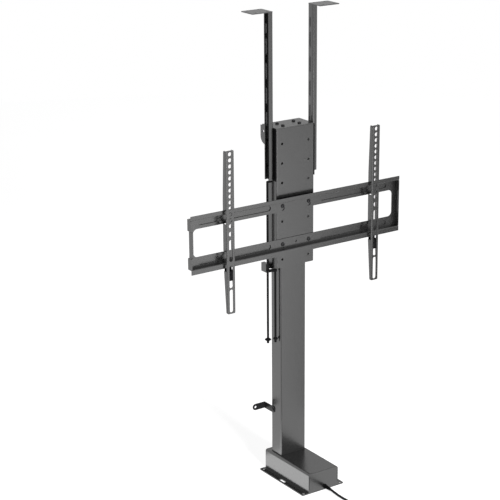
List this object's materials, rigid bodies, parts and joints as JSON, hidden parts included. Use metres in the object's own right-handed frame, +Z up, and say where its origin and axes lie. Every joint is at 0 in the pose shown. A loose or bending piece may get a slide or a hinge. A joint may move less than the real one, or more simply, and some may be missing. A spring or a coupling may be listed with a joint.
{
  "type": "motorized tv wall mount",
  "caption": "Motorized floor column that raises a television frame with two hook-on arms and two lid brackets, with a mains lead.",
  "frame": {"origin": "centre of the column's footprint, on the underside of the base plate (the floor)", "axes": "+Z up along the column, -Y towards the television, +X to the right when facing the television side from the front"},
  "size_m": [0.64, 0.5385, 1.236],
  "materials": {
    "black_steel": "fine satin black powder coat",
    "grey_steel": "satin dark grey",
    "zinc_steel": "zinc plated",
    "black_plastic": "matte black",
    "cord_rubber": "matte black sheath",
    "circuit_board": "solder mask",
    "nut_bronze": "turned bronze"
  },
  "bodies": {
    "base": {"base_plate": "black_steel", "base_cover": "black_steel", "cover_screws": "zinc_steel", "power_supply": "black_plastic", "control_board": "circuit_board", "cord_gland": "black_plastic", "mains_cord": "cord_rubber", "cord_coil": "cord_rubber", "mains_plug": "cord_rubber", "outer_tube": "black_steel", "column_foot": "grey_steel", "foot_bolts": "zinc_steel", "motor_housing": "grey_steel", "gearbox": "zinc_steel", "motor_mounts": "black_plastic", "thrust_bearing": "zinc_steel", "upper_glides": "black_plastic", "wall_strap_left": "black_steel", "wall_strap_right": "black_steel", "strap_rivets": "zinc_steel"},
    "lift": {"inner_tube": "grey_steel", "spindle_nut": "nut_bronze", "lower_glides": "black_plastic", "tube_end_block": "grey_steel", "top_cap": "black_steel", "cap_screws": "zinc_steel", "carriage_shell": "black_steel", "side_pad_left": "black_plastic", "side_pad_right": "black_plastic", "tv_frame": "black_steel", "frame_bolts": "zinc_steel", "frame_washers": "zinc_steel", "frame_nuts": "zinc_steel", "rod_block": "black_plastic", "rod_link": "black_plastic", "rod_long": "grey_steel", "rod_short": "grey_steel", "rod_knobs": "black_plastic", "bracket_screws": "zinc_steel", "bracket_washers": "zinc_steel", "bracket_nuts": "zinc_steel"},
    "spindle": {"lead_screw": "zinc_steel", "spindle_collar": "zinc_steel"},
    "arm_left": {"arm_left": "black_steel"},
    "arm_right": {"arm_right": "black_steel"},
    "latch_left": {"latch_left": "black_plastic"},
    "latch_right": {"latch_right": "black_plastic"},
    "lid_left": {"lid_bracket_left": "black_steel"},
    "lid_right": {"lid_bracket_right": "black_steel"}
  },
  "joints": [
    {"name": "lift", "type": "slide", "parent": "base", "child": "lift", "axis": [0, 0, 1], "range_m": [0, 0.6]},
    {"name": "spindle_spin", "type": "hinge", "parent": "base", "child": "spindle", "pos_m": [0, 0, 0.2], "axis": [0, 0, 1], "continuous": true},
    {"name": "arm_left_slide", "type": "slide", "parent": "lift", "child": "arm_left", "axis": [1, 0, 0], "range_m": [-0.085, 0.15]},
    {"name": "arm_right_slide", "type": "slide", "parent": "lift", "child": "arm_right", "axis": [1, 0, 0], "range_m": [-0.172, 0.0625]},
    {"name": "latch_left_slide", "type": "slide", "parent": "arm_left", "child": "latch_left", "axis": [0, 0, 1], "range_m": [-0.012, 0]},
    {"name": "latch_right_slide", "type": "slide", "parent": "arm_right", "child": "latch_right", "axis": [0, 0, 1], "range_m": [-0.012, 0]},
    {"name": "lid_left_slide", "type": "slide", "parent": "lift", "child": "lid_left", "axis": [0, 0, 1], "range_m": [-0.004, 0.02]},
    {"name": "lid_right_slide", "type": "slide", "parent": "lift", "child": "lid_right", "axis": [0, 0, 1], "range_m": [-0.014, 0.014]}
  ],
  "couplings": [
    {"joint": "spindle_spin", "follows": "lift", "rad_per_m": 628.32}
  ]
}
